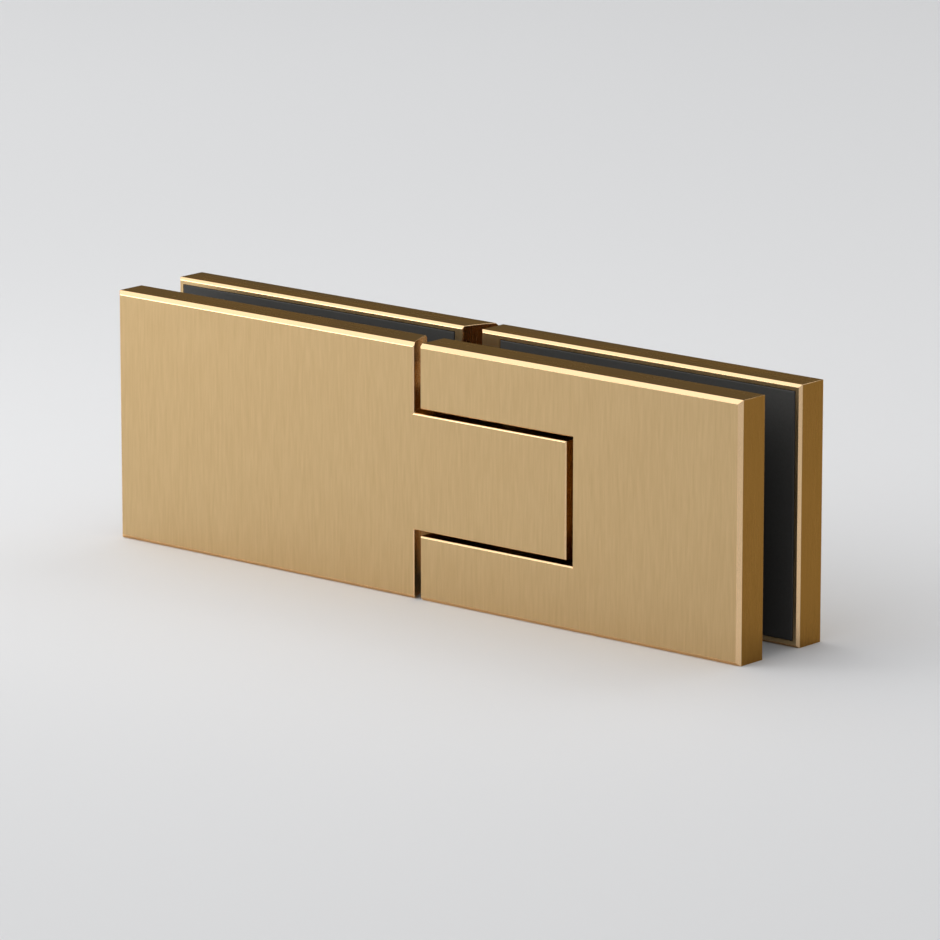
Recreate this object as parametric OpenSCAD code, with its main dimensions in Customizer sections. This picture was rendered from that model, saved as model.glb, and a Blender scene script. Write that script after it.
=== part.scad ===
// Clamping hinge: two leaves that grip sheets, a tongue that turns in a notch, and a self-centring pivot.
// X runs along the leaves, Y from front to back and Z up.
// The origin is in the middle of the seam, midway between the jaws, at mid height.

/* [Leaves] */
// Length of a leaf, from the middle of the seam to its far end
leaf_l = 62.5; // [58:0.5:80]
// Height of the plates
plate_h = 40; // [38:0.5:60]
// Thickness of a plate
plate_t = 6; // [5.6:0.1:8]
// Bevel on the outer edges of the plates
edge_bevel = 0.6; // [0.3:0.05:0.8]
// Bevel on the inner edges of the plates
inner_bevel = 0.4; // [0.2:0.05:0.6]

/* [Grip] */
// Thickness of the sheet that the jaws hold
glass_t = 8; // [8:0.5:10]
// Thickness of a gasket
gasket_t = 0.8; // [0.6:0.1:1.2]
// Height that a gasket stands proud of its plate
gasket_proud = 0.1; // [0.05:0.05:0.3]
// Distance from a plate's edge to its gasket
gasket_inset = 1.1; // [0.8:0.1:2]
// Thickness of the liner round a block
liner_t = 1; // [0.6:0.1:1.5]

/* [Tongue and notch] */
// Reach of the tongue from the middle of the seam
tongue_reach = 29.45; // [27:0.05:32]
// Height of the tongue
tongue_h = 18.3; // [16:0.1:20]
// Gap above and below the tongue
tongue_gap = 0.75; // [0.5:0.05:1]
// Gap at the seam and at the tongue's tip
seam_gap = 1.2; // [1:0.05:1.6]
// Bevel on the edges along the seam, the tongue and the notch
seam_bevel = 0.2; // [0.1:0.05:0.6]

/* [Blocks] */
// Thickness of the lugs that hold the pin
lug_h = 4.6; // [4:0.1:6]
// Length of block that is left behind the notch
block_web = 12.7; // [11:0.1:15]
// Distance from a leaf's end to the start of its lugs
lug_setback = 2; // [1:0.1:4]
// Depth that a block reaches into its back plate
register_d = 1.8; // [1.4:0.1:2]

/* [Pivot] */
// Diameter of the pivot pin
pin_d = 7; // [6:0.1:7.6]
// Wall of a bush
bush_wall = 1; // [0.8:0.1:1.2]
// Length of a bush
bush_l = 5.4; // [4:0.1:5.6]
// Width of a thrust washer's ring
washer_ring = 1.9; // [1.2:0.1:3]
// Bevel on the pin's ends
pin_bevel = 0.4; // [0.2:0.05:0.6]

/* [Centring] */
// Depth of the flats on the pin, which is the plunger's travel
flat_depth = 0.5; // [0.3:0.05:0.7]
// Diameter of the plunger
plunger_d = 6; // [5:0.1:6.4]
// Length of the plunger
plunger_l = 9; // [7:0.1:11]
// Length of the fitted spring
spring_l = 16; // [13:0.5:20]
// Wire of the spring
spring_wire = 0.8; // [0.6:0.05:0.9]
// Number of turns in the spring
spring_turns = 8; // [6:1:10]
// Diameter of the adjusting screw
adjuster_d = 8; // [7.4:0.1:8.4]
// Length of the adjusting screw
adjuster_l = 8; // [6:0.5:12]
// Key size of the adjusting screw
adjuster_key = 4; // [3:0.5:4]
// Length of the spigots that hold the spring's ends
spigot_l = 2; // [1:0.1:3]

/* [Screws] */
// Diameter of the clamp screws
clamp_d = 6; // [5:0.5:6]
// Head diameter of the clamp screws
clamp_head_d = 12; // [10:0.5:12.5]
// Overall length of the clamp screws
clamp_l = 16; // [13:0.5:17]
// Key size of the clamp screws
clamp_key = 4; // [3:0.5:4]
// Distance between the two clamp screws of a leaf
clamp_pitch = 18; // [17:0.5:20]
// Diameter of the tongue screw
tongue_screw_d = 4; // [3:0.5:4]
// Head diameter of the tongue screw
tongue_head_d = 8; // [7:0.1:8]
// Overall length of the tongue screw
tongue_screw_l = 10; // [8:0.5:12]
// Key size of the tongue screw
tongue_key = 2.5; // [2:0.5:2.5]
// Diameter of the pin's lock screws
lock_d = 3; // [2.5:0.1:3]
// Length of the pin's lock screws
lock_l = 7; // [5:0.5:7.5]
// Key size of the pin's lock screws
lock_key = 1.5; // [1:0.1:1.6]

/* [Clearances] */
// Radial running clearance of the pin in its bushes
run_clear = 0.04; // [0.02:0.01:0.08]
// Radial room round pieces that are pressed, screwed or seated in one body
seat_clear = 0.01; // [0.01:0.01:0.03]
// Room between flat faces that are assembled face to face
face_clear = 0.05; // [0.03:0.01:0.1]
// Room between a plate's pocket and the block that enters it
register_clear = 0.2; // [0.1:0.05:0.3]
// Radial room of the plunger in its bore
plunger_clear = 0.05; // [0.03:0.01:0.1]
// Radial room round a screw that passes through a plate
screw_clear = 0.2; // [0.1:0.05:0.4]

/* [Hidden] */
$fn = 96;
// Length by which a cutting shape runs past the faces it cuts
over = 1;
// Gap that a screw head lies below its face
head_sink = 0.1;
// Depth of thread left beyond a screw's end
thread_spare = 1;
// Depth of a screw's key socket, as a share of its key size
socket_share = 0.6;
// Number of points round one turn of the spring, and round its wire
spring_steps = 16;
wire_sides = 8;
// Number of closed turns at each end of the spring
closed_turns = 1;

plate_in = glass_t / 2 + gasket_proud;
half_t = plate_in + plate_t;
half_h = plate_h / 2;
seam_half = seam_gap / 2;
jaw = glass_t / 2;

pivot_x = tongue_reach / 2;
notch_end = tongue_reach + seam_gap;
notch_h = tongue_h + 2 * tongue_gap;
// Round walls about the pivot, which leave the straight gaps on the faces
wall_y = half_t - seam_bevel;
notch_r = norm([notch_end - pivot_x, wall_y]);
door_r = norm([pivot_x + seam_half, wall_y]);

block_reach = pivot_x + notch_r + block_web;
block_h = notch_h + 2 * lug_h;
block_back = plate_in + register_d;
lug_start = seam_half + lug_setback;
lug_mid = (notch_h + lug_h) / 2;
liner_fit = 2 * face_clear;
liner_reach = block_reach + liner_fit + liner_t;
liner_h = block_h + 2 * (liner_fit + liner_t);

// Where the liners and gaskets start, the gap between them, and the floor of a gasket pocket
glass_edge = door_r - pivot_x + gasket_inset;
gasket_cut = 3 * face_clear;
gasket_floor = jaw + gasket_t;

pin_r = pin_d / 2;
pin_l = block_h;
bush_in = pin_r + run_clear;
bush_out = bush_in + bush_wall;
washer_in = pin_r + 2 * run_clear;
detent_h = plunger_d + 2 * flat_depth;

nose_x = pivot_x - pin_r - run_clear;
tail_x = nose_x - plunger_l;
adjuster_x = tail_x - spring_l;
bore_r = plunger_d / 2 + plunger_clear;
spring_r = bore_r - spring_wire / 2 - 3 * plunger_clear;
spigot_d = 2 * spring_r - spring_wire - 4 * plunger_clear;

clamp_x = block_reach - block_web / 2;
tongue_screw_x = (pivot_x + bush_out + tongue_reach) / 2;

gold = [0.78, 0.66, 0.45];
rubber = [0.23, 0.23, 0.22];
nylon = [0.13, 0.13, 0.13];
steel = [0.75, 0.75, 0.76];
bronze = [0.72, 0.52, 0.30];
acetal = [0.90, 0.89, 0.85];

// Outline over the ranges u and y. At each end of u, its corners on the two faces have a pair of bevels,
// and a negative bevel is a flare
function bevelled(u, y, low, high) = [
    [u[0] + low[0], y[0]], [u[1] - high[0], y[0]], [u[1], y[0] + abs(high[0])], [u[1], y[1] - abs(high[1])],
    [u[1] - high[1], y[1]], [u[0] + low[1], y[1]], [u[0], y[1] - abs(low[1])], [u[0], y[0] + abs(low[0])]
];

// Slab over the ranges x and y, with the bevels near at its low end in x and far on its other edges
module slab(x, y, z_half, near, far) {
    plan = bevelled(x, y, near, far);
    side = [for (p = bevelled([-z_half, z_half], y, far, far)) [p[1], p[0]]];
    reach = max(abs(far[0]), abs(far[1])) + over;
    intersection() {
        linear_extrude(2 * (z_half + reach), center = true) polygon(plan);
        translate([x[0] - reach, 0, 0]) rotate([90, 0, 90])
            linear_extrude(x[1] - x[0] + 2 * reach) polygon(side);
    }
}

// Block between two corners
module brick(low, high) {
    translate(low) cube(high - low);
}

// Upright round about the pivot
module pivot_round(r, h) {
    translate([pivot_x, 0, 0]) cylinder(r = r, h = h, center = true);
}

// Round along Y from y0 to y1
module round_y(r, y0, y1) {
    translate([0, y1, 0]) rotate([90, 0, 0]) cylinder(r = r, h = y1 - y0);
}

// Round along X from x0 to x1
module round_x(r, x0, x1) {
    translate([x0, 0, 0]) rotate([0, 90, 0]) cylinder(r = r, h = x1 - x0);
}

// Six-sided key socket along Y, down from the face at y
module key_y(key, y) {
    translate([0, y + over, 0]) rotate([90, 0, 0])
        cylinder(d = key / cos(30), h = key * socket_share + over, $fn = 6);
}

// Six-sided key socket along X, in from the end at x
module key_x(key, x) {
    translate([x - over, 0, 0]) rotate([0, 90, 0])
        cylinder(d = key / cos(30), h = key * socket_share + over, $fn = 6);
}

// Countersunk screw along Y, with its head below the back face
module sunk_screw(d, head_d, l, key) {
    top = half_t - head_sink;
    cone = (head_d - d) / 2;
    difference() {
        union() {
            round_y(d / 2, top - l, top - cone / 2);
            translate([0, top, 0]) rotate([90, 0, 0]) cylinder(d1 = head_d, d2 = d, h = cone);
        }
        key_y(key, top);
    }
}

// Hole in a back plate for a countersunk screw
module sunk_hole(d, head_d) {
    r = d / 2 + screw_clear;
    cone = (head_d - d) / 2;
    top_r = head_d / 2 + screw_clear + over;
    round_y(r, plate_in - over, half_t + over);
    translate([0, half_t + over - head_sink, 0]) rotate([90, 0, 0])
        cylinder(r1 = top_r, r2 = r, h = cone + over);
}

// Threaded hole in a block for a screw of length l
module thread_hole(d, l) {
    round_y(d / 2 + seat_clear, half_t - head_sink - l - thread_spare, block_back + over);
}

// The two places of a leaf's clamp screws
module at_clamps(side) {
    for (z = [-1, 1]) translate([side * clamp_x, 0, z * clamp_pitch / 2]) children();
}

// Notch through the fixed leaf, flared to bevel its edges, with the round end wall
module notch() {
    flare = -seam_bevel - over;
    slab([-leaf_l, notch_end], [-half_t - over, half_t + over], notch_h / 2, [flare, flare], [flare, flare]);
    pivot_round(notch_r, notch_h);
}

// Outline of a gasket on the fixed side, grown by room
module gasket_outline(room) {
    difference() {
        translate([glass_edge - room, -half_h + gasket_inset - room])
            square([leaf_l - gasket_inset - glass_edge + 2 * room, plate_h - 2 * gasket_inset + 2 * room]);
        translate([-over, -liner_h / 2 - gasket_cut + room])
            square([liner_reach + gasket_cut - room + over, liner_h + 2 * gasket_cut - 2 * room]);
    }
}

// Gasket outline from depth y0 to y1
module gasket_slab(y0, y1, room) {
    translate([0, y1, 0]) rotate([90, 0, 0]) linear_extrude(y1 - y0) gasket_outline(room);
}

// Front plate of a leaf on the fixed side, with its gasket pocket
module front_plate() {
    difference() {
        slab([seam_half, leaf_l], [-half_t, -plate_in], half_h,
            [seam_bevel, inner_bevel], [edge_bevel, inner_bevel]);
        gasket_slab(-gasket_floor, -plate_in + over, face_clear);
    }
}

// Block behind the front plate on the fixed side, from start to its far end
module block(start) {
    brick([start, -plate_in - over, -block_h / 2], [block_reach, block_back, block_h / 2]);
}

// Back plate of a leaf on the fixed side, with its gasket pocket and its pocket for a block from start
module back_plate(start) {
    room = register_clear;
    difference() {
        slab([seam_half, leaf_l], [plate_in, half_t], half_h,
            [inner_bevel, seam_bevel], [inner_bevel, edge_bevel]);
        gasket_slab(plate_in - over, gasket_floor, face_clear);
        brick([start - room, plate_in - over, -block_h / 2 - room],
            [block_reach + room, block_back + room, block_h / 2 + room]);
    }
}

// Liner round the top, far end and bottom of a block on the fixed side
module edge_liner() {
    y = jaw - face_clear;
    difference() {
        brick([glass_edge, -y, -liner_h / 2], [liner_reach, y, liner_h / 2]);
        brick([-over, -half_t, -block_h / 2 - liner_fit],
            [block_reach + liner_fit, half_t, block_h / 2 + liner_fit]);
    }
}

// Thrust washer above the tongue
module thrust_washer() {
    translate([pivot_x, 0, tongue_h / 2 + face_clear]) difference() {
        cylinder(r = washer_in + washer_ring, h = tongue_gap - 2 * face_clear);
        translate([0, 0, -over]) cylinder(r = washer_in, h = tongue_gap + 2 * over);
    }
}

// Bush in the top of the tongue
module bush() {
    translate([pivot_x, 0, tongue_h / 2 - bush_l]) difference() {
        cylinder(r = bush_out, h = bush_l);
        translate([0, 0, -over]) cylinder(r = bush_in, h = bush_l + 2 * over);
    }
}

module fixed_front_body() {
    color(gold) difference() {
        union() {
            front_plate();
            block(lug_start);
        }
        notch();
        pivot_round(pin_r + seat_clear, block_h + 2 * over);
        at_clamps(1) thread_hole(clamp_d, clamp_l);
        for (z = [-lug_mid, lug_mid]) translate([0, 0, z])
            round_x(lock_d / 2 + seat_clear, lug_start - over, pivot_x);
    }
}

module fixed_back_plate() {
    color(gold) difference() {
        back_plate(lug_start);
        notch();
        at_clamps(1) sunk_hole(clamp_d, clamp_head_d);
    }
}

module fixed_front_gasket() {
    color(rubber) gasket_slab(-gasket_floor, -jaw, 0);
}

module fixed_back_gasket() {
    color(rubber) gasket_slab(jaw, gasket_floor, 0);
}

module fixed_edge_liner() {
    color(nylon) edge_liner();
}

module fixed_clamp_screws() {
    color(gold) at_clamps(1) sunk_screw(clamp_d, clamp_head_d, clamp_l, clamp_key);
}

module pivot_pin() {
    half = pin_l / 2;
    color(steel) difference() {
        translate([pivot_x, 0, 0]) rotate_extrude() polygon([
            [0, -half], [pin_r - pin_bevel, -half], [pin_r, -half + pin_bevel],
            [pin_r, half - pin_bevel], [pin_r - pin_bevel, half], [0, half]
        ]);
        // Flats that face the plunger with the door shut, and open to either side
        for (turn = [90, 180, 270]) translate([pivot_x, 0, 0]) rotate([0, 0, turn])
            brick([pin_r - flat_depth, -pin_d, -detent_h / 2], [pin_d, pin_d, detent_h / 2]);
    }
}

module pin_lock_screws() {
    end = pivot_x - pin_r - face_clear;
    color(steel) for (z = [-lug_mid, lug_mid]) translate([0, 0, z]) difference() {
        round_x(lock_d / 2, end - lock_l, end);
        key_x(lock_key, end - lock_l);
    }
}

module upper_thrust_washer() {
    color(acetal) thrust_washer();
}

module lower_thrust_washer() {
    color(acetal) mirror([0, 0, 1]) thrust_washer();
}

module door_front_body() {
    color(gold) difference() {
        union() {
            difference() {
                mirror([1, 0, 0]) union() {
                    front_plate();
                    block(0);
                }
                pivot_round(door_r, plate_h + 2 * over);
            }
            tongue([-half_t, block_back], [seam_bevel, 0]);
        }
        pivot_round(bush_out + seat_clear, tongue_h + 2 * over);
        round_x(bore_r, adjuster_x, pivot_x);
        round_x(adjuster_d / 2 + seat_clear, -block_reach - over, adjuster_x + face_clear);
        at_clamps(-1) thread_hole(clamp_d, clamp_l);
        translate([tongue_screw_x, 0, 0]) thread_hole(tongue_screw_d, tongue_screw_l);
    }
}

module door_back_plate() {
    color(gold) difference() {
        union() {
            difference() {
                mirror([1, 0, 0]) back_plate(0);
                pivot_round(door_r, plate_h + 2 * over);
            }
            tongue([block_back + register_clear, half_t], [0, seam_bevel]);
        }
        at_clamps(-1) sunk_hole(clamp_d, clamp_head_d);
        translate([tongue_screw_x, 0, 0]) sunk_hole(tongue_screw_d, tongue_head_d);
    }
}

// Tongue over the range y, running back into the leaf as far as the block does behind the round wall
module tongue(y, bevels) {
    root = pivot_x - door_r - block_web;
    slab([root, tongue_reach], y, tongue_h / 2, bevels, bevels);
}

module door_front_gasket() {
    color(rubber) mirror([1, 0, 0]) gasket_slab(-gasket_floor, -jaw, 0);
}

module door_back_gasket() {
    color(rubber) mirror([1, 0, 0]) gasket_slab(jaw, gasket_floor, 0);
}

module door_edge_liner() {
    color(nylon) difference() {
        mirror([1, 0, 0]) edge_liner();
        // Way in for the adjusting key
        round_x(adjuster_key / 2 + screw_clear, -liner_reach - over, -block_reach);
    }
}

module door_clamp_screws() {
    color(gold) at_clamps(-1) sunk_screw(clamp_d, clamp_head_d, clamp_l, clamp_key);
}

module tongue_screw() {
    color(gold) translate([tongue_screw_x, 0, 0])
        sunk_screw(tongue_screw_d, tongue_head_d, tongue_screw_l, tongue_key);
}

module upper_bush() {
    color(bronze) bush();
}

module lower_bush() {
    color(bronze) mirror([0, 0, 1]) bush();
}

module centring_plunger() {
    color(steel) union() {
        round_x(plunger_d / 2, tail_x, nose_x);
        round_x(spigot_d / 2, tail_x - spigot_l, tail_x + over);
    }
}

// Middle of the spring's wire, a share s of the way along it, with closed turns at both ends
function spring_run(s) =
    let (turn = s * spring_turns,
         free = spring_l - 2 * face_clear - spring_wire - 2 * closed_turns * spring_wire,
         first = min(turn, closed_turns) * spring_wire,
         last = max(turn - spring_turns + closed_turns, 0) * spring_wire,
         mid = min(max(turn - closed_turns, 0), spring_turns - 2 * closed_turns))
    first + last + mid * free / (spring_turns - 2 * closed_turns);

// One point of the wire's skin: s along the wire and a round its section
function spring_point(s, a) =
    let (turn = s * spring_turns * 360,
         r = spring_r + spring_wire / 2 * cos(a),
         x = adjuster_x + face_clear + spring_wire / 2 + spring_run(s) + spring_wire / 2 * sin(a))
    [x, r * cos(turn), r * sin(turn)];

module centring_spring() {
    last = spring_turns * spring_steps;
    skin = [for (i = [0:last]) for (k = [0:wire_sides - 1])
        spring_point(i / last, k * 360 / wire_sides)];
    sides = [for (i = [0:last - 1]) for (k = [0:wire_sides - 1])
        let (a = i * wire_sides + k, b = i * wire_sides + (k + 1) % wire_sides)
        each [[a, a + wire_sides, b + wire_sides], [a, b + wire_sides, b]]];
    near_cap = [for (k = [0:wire_sides - 1]) k];
    far_cap = [for (k = [wire_sides - 1:-1:0]) last * wire_sides + k];
    color(steel) polyhedron(skin, concat(sides, [near_cap, far_cap]));
}

module spring_adjuster() {
    color(steel) difference() {
        union() {
            round_x(adjuster_d / 2, adjuster_x - adjuster_l, adjuster_x);
            round_x(spigot_d / 2, adjuster_x - over, adjuster_x + spigot_l);
        }
        key_x(adjuster_key, adjuster_x - adjuster_l);
    }
}

fixed_front_body();
fixed_back_plate();
fixed_front_gasket();
fixed_back_gasket();
fixed_edge_liner();
fixed_clamp_screws();
pivot_pin();
pin_lock_screws();
upper_thrust_washer();
lower_thrust_washer();
door_front_body();
door_back_plate();
door_front_gasket();
door_back_gasket();
door_edge_liner();
door_clamp_screws();
tongue_screw();
upper_bush();
lower_bush();
centring_plunger();
centring_spring();
spring_adjuster();
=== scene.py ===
"""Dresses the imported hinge: brushed gold leaves, rubber gaskets, threaded screws, light and camera."""

import math

import bmesh
import bpy
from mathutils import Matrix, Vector


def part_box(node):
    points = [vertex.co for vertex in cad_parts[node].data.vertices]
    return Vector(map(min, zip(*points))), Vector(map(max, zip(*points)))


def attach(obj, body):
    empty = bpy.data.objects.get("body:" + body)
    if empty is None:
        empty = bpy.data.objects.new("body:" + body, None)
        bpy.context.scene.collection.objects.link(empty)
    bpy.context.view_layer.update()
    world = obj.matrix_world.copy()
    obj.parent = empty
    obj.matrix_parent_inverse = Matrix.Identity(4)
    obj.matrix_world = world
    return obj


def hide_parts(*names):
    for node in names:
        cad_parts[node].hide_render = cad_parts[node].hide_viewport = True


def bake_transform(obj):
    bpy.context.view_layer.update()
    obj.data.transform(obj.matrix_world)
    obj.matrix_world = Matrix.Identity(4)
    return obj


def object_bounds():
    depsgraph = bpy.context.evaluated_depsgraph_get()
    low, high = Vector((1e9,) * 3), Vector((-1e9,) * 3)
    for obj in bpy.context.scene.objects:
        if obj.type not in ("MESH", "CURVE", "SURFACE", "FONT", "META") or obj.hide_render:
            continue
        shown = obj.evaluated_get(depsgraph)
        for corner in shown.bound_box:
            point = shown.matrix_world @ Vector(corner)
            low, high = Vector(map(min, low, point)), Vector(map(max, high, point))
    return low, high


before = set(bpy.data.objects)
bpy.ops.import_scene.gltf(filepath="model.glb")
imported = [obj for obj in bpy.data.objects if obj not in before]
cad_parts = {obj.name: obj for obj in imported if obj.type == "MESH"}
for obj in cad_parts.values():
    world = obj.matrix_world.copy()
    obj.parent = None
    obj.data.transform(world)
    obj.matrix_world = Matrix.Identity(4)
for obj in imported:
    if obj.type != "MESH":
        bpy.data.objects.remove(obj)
cad_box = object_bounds()

MM = 0.001
FULL_TURN = 2 * math.pi
SIXTH_TURN = FULL_TURN / 6

# Rounded edges that are too small for the solids
GOLD_ROUND = 0.10 * MM
SHEET_ROUND = 0.15 * MM
BEARING_ROUND = 0.12 * MM
ROUND_STEPS = 3
FLAT_ANGLE = math.radians(0.4)
SOFT_ANGLE = math.radians(28)
MERGE_DISTANCE = 0.0005 * MM

# Turned blanks of the screws: points in a ring, rows in a turn of the thread, and kinds of ring
COLUMNS = 36
ROWS_PER_TURN = 6
ROUND = False
SIX_SIDED = True

# Screw heads, key sockets and threads
HEAD_LAND = 0.2 * MM
HEAD_EDGE = 0.07 * MM
KEY_CHAMFER = 0.15 * MM
# Depth of a key socket as a share of the key, and of a thread as a share of its pitch
KEY_DEPTH = 0.6
THREAD_DEPTH = 0.54
# Share of a shank's radius that the chamfer at its tip takes off
TIP_CHAMFER = 0.32
# Share of a shank's radius past which a point lies on its skin
SKIN_SHARE = 0.9

# Kinds of screw; a set screw's diameter comes from its node
CLAMP_SCREW = {"diameter": 6 * MM, "pitch": 1.0 * MM, "key": 4 * MM}
TONGUE_SCREW = {"diameter": 4 * MM, "pitch": 0.7 * MM, "key": 2.5 * MM}
LOCK_SCREW = {"pitch": 0.5 * MM, "key": 1.5 * MM}
ADJUSTER = {"pitch": 1.0 * MM, "key": 4 * MM, "spigot": 2.0 * MM}
SPIGOT_RADIUS = 2.0 * MM
TURN_TO_BACK = (-math.pi / 2, 0.0, 0.0)
TURN_TO_LEFT = (0.0, -math.pi / 2, 0.0)

# Coil spring
SPRING_TURNS = 8
SPRING_CLOSED = 1
SPRING_WIRE = 0.8 * MM
SPRING_STEPS = 32
WIRE_SIDES = 16

# Brush strokes in a metre across and along the brushing, with the noise's detail
STROKES = {"Fine": (7000, 220, 3.0), "Broad": (2000, 170, 2.0)}
STROKE_ROUGHNESS = 0.6
# Parts of the surface normal between which the top and bottom, the faces and the bevels are told apart
LEVEL_SPAN = (0.6, 0.9)
FACE_SPAN = (0.95, 0.99)
BEVEL_SPAN = (0.995, 0.93)
# Patches and specks in a metre
PATCH_SCALE = (70, 70, 70)
SPECK_SCALE = (900, 900, 900)
# Values between which strokes and patches of noise lie
STROKE_SPAN = (0.25, 0.75)
PATCH_SPAN = (0.3, 0.7)

# Gold: its colours, with the sides and the top and bottom painted darker as painted shade and the bevels
# painted lighter as a painted highlight, its tint at a low glance, and the share of the broad strokes in
# its tone
FACE_DARK = (0.566, 0.393, 0.193)
FACE_LIGHT = (0.672, 0.482, 0.253)
SHADED_SIDE_DARK = (0.309, 0.153, 0.033)
SHADED_SIDE_LIGHT = (0.359, 0.181, 0.042)
BEVEL_HIGHLIGHT_GOLD = (0.90, 0.62, 0.35)
GLANCE = (0.90, 0.76, 0.52)
BROAD_SHARE = 0.45
FACE_ROUGH = (0.34, 0.46)
SIDE_ROUGH = (0.22, 0.30)
BRUSHED_STRETCH = 0.4

# Bronze: its colours and roughness in the pores and between them
PORE_SCALE = (5000, 5000, 5000)
PORE_SPAN = (0.30, 0.45)
# The pores' dark colour is painted shade in their holes.
PORE_DARK = (0.13, 0.06, 0.02)
BRONZE_LIGHT = (0.50, 0.27, 0.11)
BRONZE_ROUGH = (0.62, 0.38)

# Changes of roughness that marks make on a finish
GOLD_HANDLING = (-0.03, 0.03)
BRONZE_HANDLING = (-0.04, 0.04)
SPECK_CHANGE = (-0.03, 0.03)
RING_CHANGE = (-0.04, 0.04)
GRIND_CHANGE = (-0.05, 0.07)
MOULD_CHANGE = (-0.06, 0.08)

# Relief of each finish: strength and depth
GOLD_RELIEF = (0.2, 0.02 * MM)
RING_RELIEF = (0.15, 0.006 * MM)
GRIND_RELIEF = (0.12, 0.01 * MM)
MOULD_RELIEF = (0.3, 0.03 * MM)
PORE_RELIEF = (0.3, 0.02 * MM)

# Lathe rings, and the attribute that keeps a turned piece's own place
RING_SPACING = 0.12 * MM
LATHE_PLACE = "lathe"

# Floor
FLOOR_SIZE = 8.0
FLOOR_COLOUR = (0.76, 0.76, 0.76, 1.0)
FLOOR_ROUGH = 0.7
FLOOR_SHINE = 0.2

# Lamps, in metres and watts; the left panel's narrow beam points past the left end
KEY_LAMP = {"place": (-0.46, -0.19, 0.58), "size": 1.45, "power": 6.15}
LEFT_PANEL = {"place": (-0.32, -0.21, 0.10), "size": 0.24, "power": 0.080,
              "aim": (-0.10, 0.0, 0.0), "spread": math.radians(60)}
FRONT_FILL = {"place": (-0.10, -1.1, 0.8), "size": 0.8, "power": 1.4}
BACK_FILL = {"place": (0.1, 1.0, 1.1), "size": 0.8, "power": 2.6}

# Colours of the studio at the horizon and overhead, and the heights between which they blend
HORIZON = (0.15, 0.147, 0.144)
OVERHEAD = (0.56, 0.57, 0.59)
SKY_SPAN = (0.1, 0.9)

# Camera, found from the lines of the hinge in the photograph
CAMERA_PLACE = Vector((0.6348, -0.7398, 0.2232))
CAMERA_TARGET = Vector((0.00136, 0.00075, -0.00135))
SENSOR = 36.0
LENS = 250.0


# Mesh helpers

def link(name, mesh):
    """A new object for a mesh, in the scene."""
    piece = bpy.data.objects.new(name, mesh)
    bpy.context.scene.collection.objects.link(piece)
    return piece


def settle(piece):
    """Applies a piece's modifiers, so that it is a plain mesh."""
    bpy.context.view_layer.update()
    graph = bpy.context.evaluated_depsgraph_get()
    mesh = bpy.data.meshes.new_from_object(piece.evaluated_get(graph))
    mesh.name = piece.name
    old = piece.data
    piece.modifiers.clear()
    piece.data = mesh
    bpy.data.meshes.remove(old)
    return piece


def softened(node, name, width):
    """A copy of a CAD node with clean flat faces and slightly rounded edges."""
    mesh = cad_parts[node].data.copy()
    mesh.materials.clear()
    form = bmesh.new()
    form.from_mesh(mesh)
    bmesh.ops.remove_doubles(form, verts=form.verts, dist=MERGE_DISTANCE)
    bmesh.ops.dissolve_limit(form, angle_limit=FLAT_ANGLE, verts=form.verts, edges=form.edges)
    form.to_mesh(mesh)
    form.free()
    mesh.shade_smooth()
    piece = link(name, mesh)
    bevel = piece.modifiers.new("rounded_edges", "BEVEL")
    bevel.width = width
    bevel.segments = ROUND_STEPS
    bevel.limit_method = "ANGLE"
    bevel.angle_limit = SOFT_ANGLE
    shade = piece.modifiers.new("face_normals", "WEIGHTED_NORMAL")
    shade.keep_sharp = False
    return settle(piece)


def dress(piece, material, body, node):
    """Gives a piece its finish and its body, and hides the CAD node that it stands for."""
    piece.data.materials.clear()
    piece.data.materials.append(material)
    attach(piece, body)
    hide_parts(node)


# Node helpers, for shaders and for geometry

def feed(tree, node, values):
    """Feeds a node's inputs, given by name or by number, from sockets or with plain values."""
    for label, value in values.items():
        socket = node.inputs[label]
        if isinstance(value, bpy.types.NodeSocket):
            tree.links.new(value, socket)
        else:
            socket.default_value = value


def add_node(tree, kind, values, **settings):
    """A new node with its settings made and its inputs fed, as its outputs."""
    node = tree.nodes.new(kind)
    for setting, choice in settings.items():
        setattr(node, setting, choice)
    feed(tree, node, values)
    return node.outputs


def new_group(name, kind, inputs, outputs):
    """A node group with named sockets, the values that come into it and the node that ends it."""
    group = bpy.data.node_groups.new(name, kind)
    for in_out, sockets in (("INPUT", inputs), ("OUTPUT", outputs)):
        for label, socket_kind in sockets.items():
            group.interface.new_socket(label, in_out=in_out, socket_type=f"NodeSocket{socket_kind}")
    return group, group.nodes.new("NodeGroupInput").outputs, group.nodes.new("NodeGroupOutput")


def math_node(tree, operation, *values):
    """The result of a Math node."""
    return add_node(tree, "ShaderNodeMath", dict(enumerate(values)), operation=operation)[0]


def split_vector(tree, vector):
    """The three parts of a vector."""
    return add_node(tree, "ShaderNodeSeparateXYZ", {0: vector})


def join_vector(tree, x, y, z):
    """A vector from three parts."""
    return add_node(tree, "ShaderNodeCombineXYZ", {0: x, 1: y, 2: z})[0]


def length_of(tree, a, b):
    """The length of a vector with two parts."""
    squares = (math_node(tree, "MULTIPLY", part, part) for part in (a, b))
    return math_node(tree, "SQRT", math_node(tree, "ADD", *squares))


def ramp(tree, value, span, result=(0.0, 1.0)):
    """Maps a value from one span to another."""
    labels = ("Value", "From Min", "From Max", "To Min", "To Max")
    values = dict(zip(labels, (value, *span, *result)))
    return add_node(tree, "ShaderNodeMapRange", values)["Result"]


def around(middle, changes):
    """A span around a middle value."""
    return [middle + change for change in changes]


def noise(tree, vector, scale, detail, roughness):
    """A noise value, stretched by a scale for each axis."""
    stretched = add_node(tree, "ShaderNodeMapping", {"Vector": vector, "Scale": scale})["Vector"]
    values = {"Vector": stretched, "Scale": 1.0, "Detail": detail, "Roughness": roughness}
    return add_node(tree, "ShaderNodeTexNoise", values)["Fac"]


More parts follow.
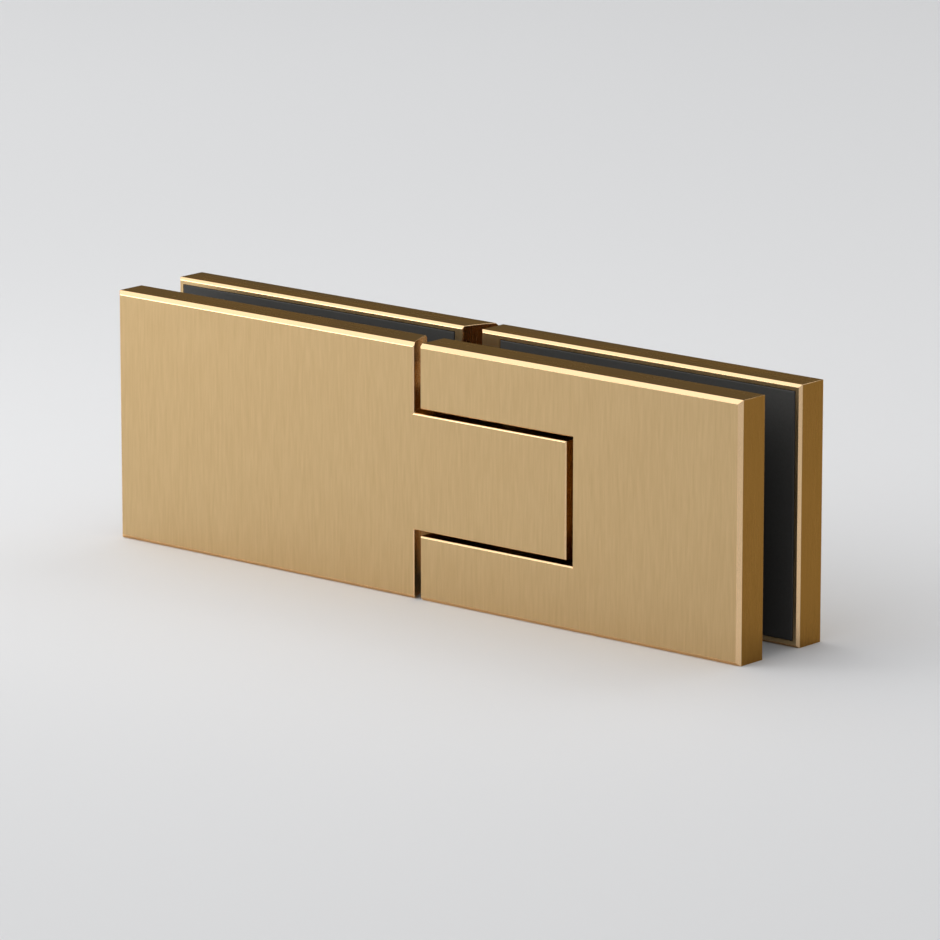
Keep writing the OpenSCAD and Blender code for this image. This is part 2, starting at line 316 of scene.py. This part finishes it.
def mix_value(tree, factor, a, b):
    """Blends two values by a factor. A Mix node's inputs 2 and 3 and its output 0 are values."""
    return add_node(tree, "ShaderNodeMix", {0: factor, 2: a, 3: b}, data_type="FLOAT")[0]


def mix_colour(tree, factor, a, b):
    """Blends two colours by a factor. A Mix node's inputs 6 and 7 and its output 2 are colours."""
    a, b = ((*colour, 1.0) if isinstance(colour, tuple) else colour for colour in (a, b))
    return add_node(tree, "ShaderNodeMix", {0: factor, 6: a, 7: b}, data_type="RGBA")[2]


def relief(tree, height, strength, depth):
    """A normal bent by a height."""
    values = {"Height": height, "Strength": strength, "Distance": depth}
    return add_node(tree, "ShaderNodeBump", values)["Normal"]


# Effects that several finishes share

def build_brushed_grain():
    """Brush strokes, upright on the faces and ends and lengthwise on the top and bottom, with masks."""
    group, source, sink = new_group(
        "brushed_grain", "ShaderNodeTree", {"Vector": "Vector"},
        {"Fine": "Float", "Broad": "Float", "Face": "Float", "Edge": "Float"})
    normal = add_node(group, "ShaderNodeTexCoord", {})["Normal"]
    parts = split_vector(group, normal)
    along_x, along_y, along_z = (math_node(group, "ABSOLUTE", part) for part in parts)
    level = ramp(group, along_z, LEVEL_SPAN)
    for name, (across, along, detail) in STROKES.items():
        upright = noise(group, source["Vector"], (across, across, along), detail, STROKE_ROUGHNESS)
        lengthwise = noise(group, source["Vector"], (along, across, across), detail, STROKE_ROUGHNESS)
        feed(group, sink, {name: mix_value(group, level, upright, lengthwise)})
    # The widest part of the normal finds the bevels, which the gold paints lighter as a painted
    # highlight.
    widest = math_node(group, "MAXIMUM", along_x, math_node(group, "MAXIMUM", along_y, along_z))
    # The Face mask keeps the painted shade of the sides off the front and back faces.
    feed(group, sink, {
        "Face": ramp(group, along_y, FACE_SPAN),
        "Edge": ramp(group, widest, BEVEL_SPAN)})
    return group


def build_handling():
    """Soft uneven patches and fine specks, as handling and the polishing cloth leave them."""
    group, source, sink = new_group(
        "handling_marks", "ShaderNodeTree", {"Vector": "Vector"},
        {"Patches": "Float", "Specks": "Float"})
    feed(group, sink, {
        "Patches": noise(group, source["Vector"], PATCH_SCALE, detail=3.0, roughness=0.55),
        "Specks": noise(group, source["Vector"], SPECK_SCALE, detail=2.0, roughness=0.5)})
    return group


BRUSHED = build_brushed_grain()
HANDLING = build_handling()


# Finishes

def new_material(name):
    """A material, its node tree, its Principled shader and its Object coordinate."""
    material = bpy.data.materials.new(name)
    material.use_nodes = True
    tree = material.node_tree
    place = add_node(tree, "ShaderNodeTexCoord", {})["Object"]
    return material, tree, tree.nodes["Principled BSDF"], place


def place_group(tree, group, vector):
    """A node group placed in a material, reading a coordinate."""
    return add_node(tree, "ShaderNodeGroup", {"Vector": vector}, node_tree=group)


def brushed_gold():
    """Satin gold: pale brushed faces, smoother sides painted darker as painted shade, and bevels painted
    lighter as a painted highlight.
    """
    material, tree, shader, place = new_material("brushed_gold")
    grain = place_group(tree, BRUSHED, place)
    marks = place_group(tree, HANDLING, place)
    broad = ramp(tree, grain["Broad"], PATCH_SPAN, (0.0, BROAD_SHARE))
    fine = ramp(tree, grain["Fine"], STROKE_SPAN, (0.0, 1.0 - BROAD_SHARE))
    tone = math_node(tree, "ADD", broad, fine)
    face = mix_colour(tree, tone, FACE_DARK, FACE_LIGHT)
    # Ends, top, bottom and inner walls take a darker copy of the gold: painted shade.
    side = mix_colour(tree, tone, SHADED_SIDE_DARK, SHADED_SIDE_LIGHT)
    flat = mix_colour(tree, grain["Face"], side, face)
    brushed = ramp(tree, grain["Fine"], STROKE_SPAN, FACE_ROUGH)
    milled = ramp(tree, grain["Fine"], STROKE_SPAN, SIDE_ROUGH)
    rough = mix_value(tree, grain["Face"], milled, brushed)
    handled = ramp(tree, marks["Patches"], PATCH_SPAN, GOLD_HANDLING)
    # The bevels take a lighter gold: a painted highlight.
    feed(tree, shader, {
        "Base Color": mix_colour(tree, grain["Edge"], flat, BEVEL_HIGHLIGHT_GOLD),
        "Roughness": math_node(tree, "ADD", rough, handled),
        "Metallic": 1.0,
        "Specular Tint": (*GLANCE, 1.0),
        "Anisotropic": BRUSHED_STRETCH,
        "Normal": relief(tree, grain["Fine"], *GOLD_RELIEF)})
    return material


def turned_metal(name, dark, light, rough, tint):
    """Metal turned on a lathe, with fine rings round its own axis and a tint at a low glance."""
    material, tree, shader, place = new_material(name)
    own_place = add_node(tree, "ShaderNodeAttribute", {}, attribute_name=LATHE_PLACE)["Vector"]
    radius = length_of(tree, *split_vector(tree, own_place)[:2])
    rings = math_node(tree, "SINE", math_node(tree, "MULTIPLY", radius, FULL_TURN / RING_SPACING))
    marks = place_group(tree, HANDLING, place)
    ringed = ramp(tree, rings, (-1.0, 1.0), around(rough, RING_CHANGE))
    specks = ramp(tree, marks["Specks"], PATCH_SPAN, SPECK_CHANGE)
    feed(tree, shader, {
        "Base Color": mix_colour(tree, marks["Patches"], dark, light),
        "Roughness": math_node(tree, "ADD", ringed, specks),
        "Metallic": 1.0,
        "Specular Tint": (*tint, 1.0),
        "Normal": relief(tree, rings, *RING_RELIEF)})
    return material


def ground_metal(name, dark, light, rough):
    """Ground or drawn steel with fine marks."""
    material, tree, shader, place = new_material(name)
    grain = place_group(tree, BRUSHED, place)
    marks = place_group(tree, HANDLING, place)
    feed(tree, shader, {
        "Base Color": mix_colour(tree, marks["Patches"], dark, light),
        "Roughness": ramp(tree, grain["Fine"], STROKE_SPAN, around(rough, GRIND_CHANGE)),
        "Metallic": 1.0,
        "Normal": relief(tree, grain["Fine"], *GRIND_RELIEF)})
    return material


def moulded(name, dark, light, rough, grain_size):
    """Rubber or plastic with a fine moulded grain and a little bloom."""
    material, tree, shader, place = new_material(name)
    marks = place_group(tree, HANDLING, place)
    pits = noise(tree, place, (1 / grain_size,) * 3, detail=3.0, roughness=0.6)
    feed(tree, shader, {
        "Base Color": mix_colour(tree, marks["Patches"], dark, light),
        "Roughness": ramp(tree, pits, PATCH_SPAN, around(rough, MOULD_CHANGE)),
        "Normal": relief(tree, pits, *MOULD_RELIEF)})
    return material


def sintered_bronze():
    """Pressed bronze powder, with open pores painted dark as painted shade in their holes."""
    material, tree, shader, place = new_material("sintered_bronze")
    marks = place_group(tree, HANDLING, place)
    pores = ramp(tree, noise(tree, place, PORE_SCALE, detail=2.0, roughness=0.6), PORE_SPAN)
    rough = ramp(tree, pores, (0.0, 1.0), BRONZE_ROUGH)
    handled = ramp(tree, marks["Patches"], PATCH_SPAN, BRONZE_HANDLING)
    feed(tree, shader, {
        "Base Color": mix_colour(tree, pores, PORE_DARK, BRONZE_LIGHT),
        "Roughness": math_node(tree, "ADD", rough, handled),
        "Metallic": 1.0,
        "Normal": relief(tree, pores, *PORE_RELIEF)})
    return material


GOLD = brushed_gold()
SCREW = turned_metal("satin_gold_screw", dark=(0.50, 0.335, 0.16), light=(0.57, 0.395, 0.20),
                     rough=0.34, tint=GLANCE)
SET_SCREW = turned_metal("blackened_screw", dark=(0.16, 0.16, 0.165), light=(0.22, 0.22, 0.225),
                         rough=0.36, tint=(1, 1, 1))
PIN = ground_metal("ground_steel", dark=(0.46, 0.46, 0.47), light=(0.58, 0.58, 0.59), rough=0.26)
WIRE = ground_metal("spring_wire", dark=(0.34, 0.34, 0.35), light=(0.46, 0.46, 0.47), rough=0.34)
RUBBER = moulded("gasket_rubber", dark=(0.036, 0.036, 0.034), light=(0.052, 0.051, 0.048),
                 rough=0.72, grain_size=0.35 * MM)
NYLON = moulded("liner_nylon", dark=(0.013, 0.013, 0.013), light=(0.022, 0.022, 0.022),
                rough=0.46, grain_size=0.25 * MM)
ACETAL = moulded("washer_acetal", dark=(0.72, 0.70, 0.64), light=(0.80, 0.78, 0.72),
                 rough=0.40, grain_size=0.3 * MM)
BRONZE = sintered_bronze()


# Leaves, gaskets, liners and bearings

def make_leaf(side, body):
    """The gold body and plate of a leaf, its two gaskets and its liner."""
    for part, ending, width, finish, slot in (
            ("front_body", "brushed", GOLD_ROUND, GOLD, "brushed_gold"),
            ("back_plate", "brushed", GOLD_ROUND, GOLD, "brushed_gold"),
            ("front_gasket", "sheet", SHEET_ROUND, RUBBER, "gasket_rubber"),
            ("back_gasket", "sheet", SHEET_ROUND, RUBBER, "gasket_rubber"),
            ("edge_liner", "moulded", SHEET_ROUND, NYLON, "liner_nylon")):
        node = f"{side}_{part}"
        dress(softened(node, f"{node}_{ending}", width), finish, body, node)


def make_bearings():
    """The pin, the bushes, the washers and the plunger."""
    for node, finish, slot, body in (
            ("pivot_pin", PIN, "pin_steel", "fixed_leaf"),
            ("upper_bush", BRONZE, "bush_bronze", "door_leaf"),
            ("lower_bush", BRONZE, "bush_bronze", "door_leaf"),
            ("upper_thrust_washer", ACETAL, "washer_acetal", "fixed_leaf"),
            ("lower_thrust_washer", ACETAL, "washer_acetal", "fixed_leaf"),
            ("centring_plunger", PIN, "pin_steel", "plunger")):
        dress(softened(node, f"{node}_finished", BEARING_ROUND), finish, body, node)


# Geometry trees that make the screws and the spring

def run_tree(piece, tree, values):
    """Runs a geometry tree on a piece with the values of its named inputs, and keeps the plain mesh."""
    modifier = piece.modifiers.new(tree.name, "NODES")
    modifier.node_group = tree
    for item in tree.interface.items_tree:
        if item.in_out == "INPUT" and item.name in values:
            modifier[item.identifier] = values[item.name]
    settle(piece)
    piece.data.set_sharp_from_angle(angle=SOFT_ANGLE)
    return piece


def finish_geometry(tree, sink, geometry, finish):
    """Ends a geometry tree: copies made real, and the finish set."""
    real = add_node(tree, "GeometryNodeRealizeInstances", {"Geometry": geometry})["Geometry"]
    painted = add_node(tree, "GeometryNodeSetMaterial", {
        "Geometry": real, "Material": finish})["Geometry"]
    feed(tree, sink, {"Geometry": painted})


def thread_groove(tree, place, source):
    """Which points of a blank lie on its thread, and how each one moves in to cut a pointed groove."""
    x, y, z = split_vector(tree, place)
    radius = length_of(tree, x, y)
    turns = math_node(tree, "DIVIDE", math_node(tree, "ARCTAN2", y, x), FULL_TURN)
    climb = math_node(tree, "SUBTRACT", math_node(tree, "DIVIDE", z, source["Thread Pitch"]), turns)
    saw = math_node(tree, "MULTIPLY_ADD", math_node(tree, "FRACT", climb), 2.0, -1.0)
    depth = math_node(tree, "MULTIPLY", source["Thread Pitch"], -THREAD_DEPTH)
    inward = math_node(tree, "MULTIPLY", math_node(tree, "ABSOLUTE", saw), depth)
    share = math_node(tree, "DIVIDE", inward, radius)
    offset_x, offset_y = (math_node(tree, "MULTIPLY", part, share) for part in (x, y))
    skin = math_node(tree, "MULTIPLY", source["Thread Radius"], SKIN_SHARE)
    near_skin = math_node(tree, "GREATER_THAN", radius, skin)
    below = math_node(tree, "LESS_THAN", z, source["Thread Top"])
    above = math_node(tree, "GREATER_THAN", z, source["Thread End"])
    chosen = math_node(tree, "MULTIPLY", near_skin, math_node(tree, "MULTIPLY", below, above))
    return chosen, join_vector(tree, offset_x, offset_y, 0.0)


def build_screw_row():
    """Cuts a thread in a turned blank, sets copies of it in a row and gives them their finish."""
    tree, source, sink = new_group(
        "screw_row", "GeometryNodeTree",
        {"Geometry": "Geometry", "Thread Radius": "Float", "Thread Pitch": "Float",
         "Thread Top": "Float", "Thread End": "Float", "Count": "Int", "First Place": "Vector",
         "Spacing": "Vector", "Turn": "Rotation", "Finish": "Material"},
        {"Geometry": "Geometry"})
    place = add_node(tree, "GeometryNodeInputPosition", {})[0]
    chosen, offset = thread_groove(tree, place, source)
    blank = add_node(tree, "GeometryNodeStoreNamedAttribute", {
        "Geometry": source["Geometry"], "Name": LATHE_PLACE, "Value": place},
        data_type="FLOAT_VECTOR")["Geometry"]
    threaded = add_node(tree, "GeometryNodeSetPosition", {
        "Geometry": blank, "Selection": chosen, "Offset": offset})["Geometry"]
    row = add_node(tree, "GeometryNodeMeshLine", {
        "Count": source["Count"], "Start Location": source["First Place"],
        "Offset": source["Spacing"]})["Mesh"]
    copies = add_node(tree, "GeometryNodeInstanceOnPoints", {
        "Points": row, "Instance": threaded, "Rotation": source["Turn"]})["Instances"]
    finish_geometry(tree, sink, copies, source["Finish"])
    return tree


def coil_advance(tree, turn, source):
    """How far along a coil its wire has come: turns closed at both ends and open between them."""
    closed_turns, wire = source["Closed Turns"], source["Wire"]
    open_end = math_node(tree, "SUBTRACT", source["Turns"], closed_turns)
    open_turns = math_node(tree, "SUBTRACT", open_end, closed_turns)
    first = math_node(tree, "MINIMUM", turn, closed_turns)
    last = math_node(tree, "MAXIMUM", math_node(tree, "SUBTRACT", turn, open_end), 0.0)
    closed = math_node(tree, "MULTIPLY", math_node(tree, "ADD", first, last), wire)
    past = math_node(tree, "MAXIMUM", math_node(tree, "SUBTRACT", turn, closed_turns), 0.0)
    middle = math_node(tree, "MINIMUM", past, open_turns)
    solid = math_node(tree, "MULTIPLY_ADD", closed_turns, 2.0, 1.0)
    free = math_node(tree, "SUBTRACT", source["Length"], math_node(tree, "MULTIPLY", solid, wire))
    opened = math_node(tree, "MULTIPLY", middle, math_node(tree, "DIVIDE", free, open_turns))
    return math_node(tree, "ADD", closed, opened)


def build_coil():
    """A wire along a helix in X whose end turns lie closed."""
    tree, source, sink = new_group(
        "coil_spring", "GeometryNodeTree",
        {"Start": "Float", "Length": "Float", "Coil Radius": "Float", "Wire": "Float", "Turns": "Int",
         "Closed Turns": "Int", "Steps": "Int", "Finish": "Material"},
        {"Geometry": "Geometry"})
    turn = math_node(tree, "DIVIDE", add_node(tree, "GeometryNodeInputIndex", {})[0], source["Steps"])
    angle = math_node(tree, "MULTIPLY", turn, FULL_TURN)
    half_wire = math_node(tree, "MULTIPLY", source["Wire"], 0.5)
    begin = math_node(tree, "ADD", source["Start"], half_wire)
    along = math_node(tree, "ADD", begin, coil_advance(tree, turn, source))
    across = math_node(tree, "MULTIPLY", math_node(tree, "COSINE", angle), source["Coil Radius"])
    up = math_node(tree, "MULTIPLY", math_node(tree, "SINE", angle), source["Coil Radius"])
    count = math_node(tree, "MULTIPLY_ADD", source["Turns"], source["Steps"], 1.0)
    line = add_node(tree, "GeometryNodeMeshLine", {"Count": count})["Mesh"]
    helix = add_node(tree, "GeometryNodeSetPosition", {
        "Geometry": line, "Position": join_vector(tree, along, across, up)})["Geometry"]
    path = add_node(tree, "GeometryNodeMeshToCurve", {"Mesh": helix})["Curve"]
    section = add_node(tree, "GeometryNodeCurvePrimitiveCircle", {
        "Resolution": WIRE_SIDES, "Radius": half_wire})["Curve"]
    wire = add_node(tree, "GeometryNodeCurveToMesh", {
        "Curve": path, "Profile Curve": section, "Fill Caps": True})["Mesh"]
    finish_geometry(tree, sink, wire, source["Finish"])
    return tree


SCREW_ROW = build_screw_row()
COIL = build_coil()


# Turned blanks, as rings of height, radius and kind

def turned_ring(form, height, radius, six_sided):
    """A closed ring of points, round or six-sided. The radius of a six-sided ring reaches its flats."""
    points = []
    for column in range(COLUMNS):
        angle = FULL_TURN * column / COLUMNS
        from_flat = angle % SIXTH_TURN - SIXTH_TURN / 2
        reach = radius / math.cos(from_flat) if six_sided else radius
        points.append(form.verts.new((reach * math.cos(angle), reach * math.sin(angle), height)))
    return points


def turned_blank(name, rings):
    """A turned piece along Z, closed between its first ring and its last."""
    form = bmesh.new()
    loops = [turned_ring(form, *ring) for ring in rings]
    for low, high in zip(loops, loops[1:]):
        for column in range(COLUMNS):
            following = (column + 1) % COLUMNS
            form.faces.new((low[column], low[following], high[following], high[column]))
    for loop in (loops[0], loops[-1]):
        form.faces.new(loop)
    bmesh.ops.recalc_face_normals(form, faces=form.faces)
    mesh = bpy.data.meshes.new(name)
    form.to_mesh(mesh)
    form.free()
    mesh.shade_smooth()
    return link(name, mesh)


def key_rings(key):
    """Rings of a key socket, from its floor up to the chamfer at its mouth."""
    flat = key / 2
    corner = flat / math.cos(SIXTH_TURN / 2)
    return [(-KEY_DEPTH * key, flat, SIX_SIDED),
            (-KEY_CHAMFER, flat, SIX_SIDED),
            (0.0, corner + KEY_CHAMFER / 2, ROUND)]


def sunk_head_rings(head, radius):
    """Rings of a countersunk head, from its flat top down to the shank."""
    edge = head - HEAD_LAND
    return [(0.0, edge - HEAD_EDGE, ROUND),
            (-HEAD_EDGE, edge, ROUND),
            (-HEAD_LAND, edge, ROUND),
            (radius - head, radius, ROUND)]


def shank_rings(radius, pitch, top, end):
    """Rings of a shank, close enough together to take its thread, and the chamfer at its tip."""
    tip = radius * (1 - TIP_CHAMFER)
    straight = top - end - (radius - tip)
    rows = math.ceil(straight / pitch * ROWS_PER_TURN)
    step = straight / rows
    return [(top - step * row, radius, ROUND) for row in range(rows + 1)] + [(end, tip, ROUND)]


# Screws and spring

def make_sunk_screws(node, body, count, diameter, pitch, key):
    """Countersunk screws of a node, in an upright row with their heads at the back."""
    low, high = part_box(node)
    head = (high.x - low.x) / 2
    radius = diameter / 2
    length = high.y - low.y
    top = radius - head - pitch / 2
    rings = key_rings(key) + sunk_head_rings(head, radius) + shank_rings(radius, pitch, top, -length)
    piece = run_tree(turned_blank(f"{node}_threaded", rings), SCREW_ROW, {
        "Thread Radius": radius, "Thread Pitch": pitch, "Thread Top": top - pitch / 4,
        "Thread End": -length + pitch / 2, "Count": count,
        "First Place": ((low.x + high.x) / 2, high.y, low.z + head),
        "Spacing": (0.0, 0.0, high.z - low.z - 2 * head), "Turn": TURN_TO_BACK, "Finish": SCREW})
    dress(piece, SCREW, body, node)


def make_set_screws(node, body, count, pitch, key, spigot=0.0):
    """Set screws of a node along X, in an upright row, with keys on the left and perhaps a spigot."""
    low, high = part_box(node)
    radius = (high.y - low.y) / 2
    whole = high.x - low.x
    length = whole - spigot
    rings = key_rings(key) + [(0.0, radius - pitch / 2, ROUND)]
    rings += shank_rings(radius, pitch, -pitch / 2, -length)
    if spigot:
        rings += [(-length, SPIGOT_RADIUS, ROUND), (-whole, SPIGOT_RADIUS, ROUND)]
    piece = run_tree(turned_blank(f"{node}_threaded", rings), SCREW_ROW, {
        "Thread Radius": radius, "Thread Pitch": pitch, "Thread Top": -pitch / 4,
        "Thread End": -length + pitch / 2, "Count": count,
        "First Place": (low.x, (low.y + high.y) / 2, low.z + radius),
        "Spacing": (0.0, 0.0, high.z - low.z - 2 * radius), "Turn": TURN_TO_LEFT, "Finish": SET_SCREW})
    dress(piece, SET_SCREW, body, node)


def make_screws():
    """All the screws, each node's in one piece."""
    make_sunk_screws("fixed_clamp_screws", "fixed_leaf", 2, **CLAMP_SCREW)
    make_sunk_screws("door_clamp_screws", "door_leaf", 2, **CLAMP_SCREW)
    make_sunk_screws("tongue_screw", "door_leaf", 1, **TONGUE_SCREW)
    make_set_screws("pin_lock_screws", "fixed_leaf", 2, **LOCK_SCREW)
    make_set_screws("spring_adjuster", "door_leaf", 1, **ADJUSTER)


def make_spring():
    """The coil spring, which stretches from the adjuster to the plunger."""
    low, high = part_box("centring_spring")
    name = "centring_spring_coil"
    piece = run_tree(link(name, bpy.data.meshes.new(name)), COIL, {
        "Start": low.x, "Length": high.x - low.x, "Coil Radius": (high.z - low.z - SPRING_WIRE) / 2,
        "Wire": SPRING_WIRE, "Turns": SPRING_TURNS, "Closed Turns": SPRING_CLOSED,
        "Steps": SPRING_STEPS, "Finish": WIRE})
    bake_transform(piece)
    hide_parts("centring_spring")


make_leaf("fixed", "fixed_leaf")
make_leaf("door", "door_leaf")
make_bearings()
make_screws()
make_spring()


# Floor, light and camera

def make_floor():
    """A plain pale floor under the hinge."""
    mesh = bpy.data.meshes.new("floor")
    half = FLOOR_SIZE / 2
    low = cad_box[0][2]
    corners = [(-half, -half, low), (half, -half, low), (half, half, low), (-half, half, low)]
    mesh.from_pydata(corners, [], [(0, 1, 2, 3)])
    floor = link("floor", mesh)
    material = bpy.data.materials.new("pale_floor")
    material.use_nodes = True
    tree = material.node_tree
    feed(tree, tree.nodes["Principled BSDF"], {
        "Base Color": FLOOR_COLOUR, "Roughness": FLOOR_ROUGH, "Specular IOR Level": FLOOR_SHINE})
    mesh.materials.append(material)


def make_lamp(name, place, size, power, aim=(0.0, 0.0, 0.0), spread=math.pi):
    """A soft square lamp that faces a point and whose light fans out by an angle."""
    light = bpy.data.lights.new(name, "AREA")
    light.shape = "SQUARE"
    light.size = size
    light.energy = power
    light.spread = spread
    lamp = bpy.data.objects.new(name, light)
    bpy.context.scene.collection.objects.link(lamp)
    lamp.location = place
    lamp.rotation_euler = (Vector(aim) - Vector(place)).to_track_quat("-Z", "Y").to_euler()


def make_world():
    """A studio that is dim near the horizon and brighter overhead."""
    world = bpy.data.worlds.new("studio")
    bpy.context.scene.world = world
    world.use_nodes = True
    tree = world.node_tree
    direction = add_node(tree, "ShaderNodeTexCoord", {})["Generated"]
    rise = ramp(tree, split_vector(tree, direction)[2], SKY_SPAN)
    feed(tree, tree.nodes["Background"], {"Color": mix_colour(tree, rise, HORIZON, OVERHEAD)})


def make_light():
    """Soft studio light: a large key, a low narrow panel on the left, and fills in front and behind."""
    make_lamp("key", **KEY_LAMP)
    make_lamp("left_panel", **LEFT_PANEL)
    make_lamp("front_fill", **FRONT_FILL)
    make_lamp("back_fill", **BACK_FILL)
    make_world()


def make_camera():
    """The photograph's viewing angle, closer to the hinge."""
    data = bpy.data.cameras.new("camera")
    data.sensor_width = SENSOR
    data.lens = LENS
    camera = bpy.data.objects.new("camera", data)
    bpy.context.scene.collection.objects.link(camera)
    camera.location = CAMERA_PLACE
    camera.rotation_euler = (CAMERA_TARGET - CAMERA_PLACE).to_track_quat("-Z", "Y").to_euler()
    bpy.context.scene.camera = camera


make_floor()
make_light()
make_camera()
bpy.context.scene.view_settings.view_transform = "Standard"
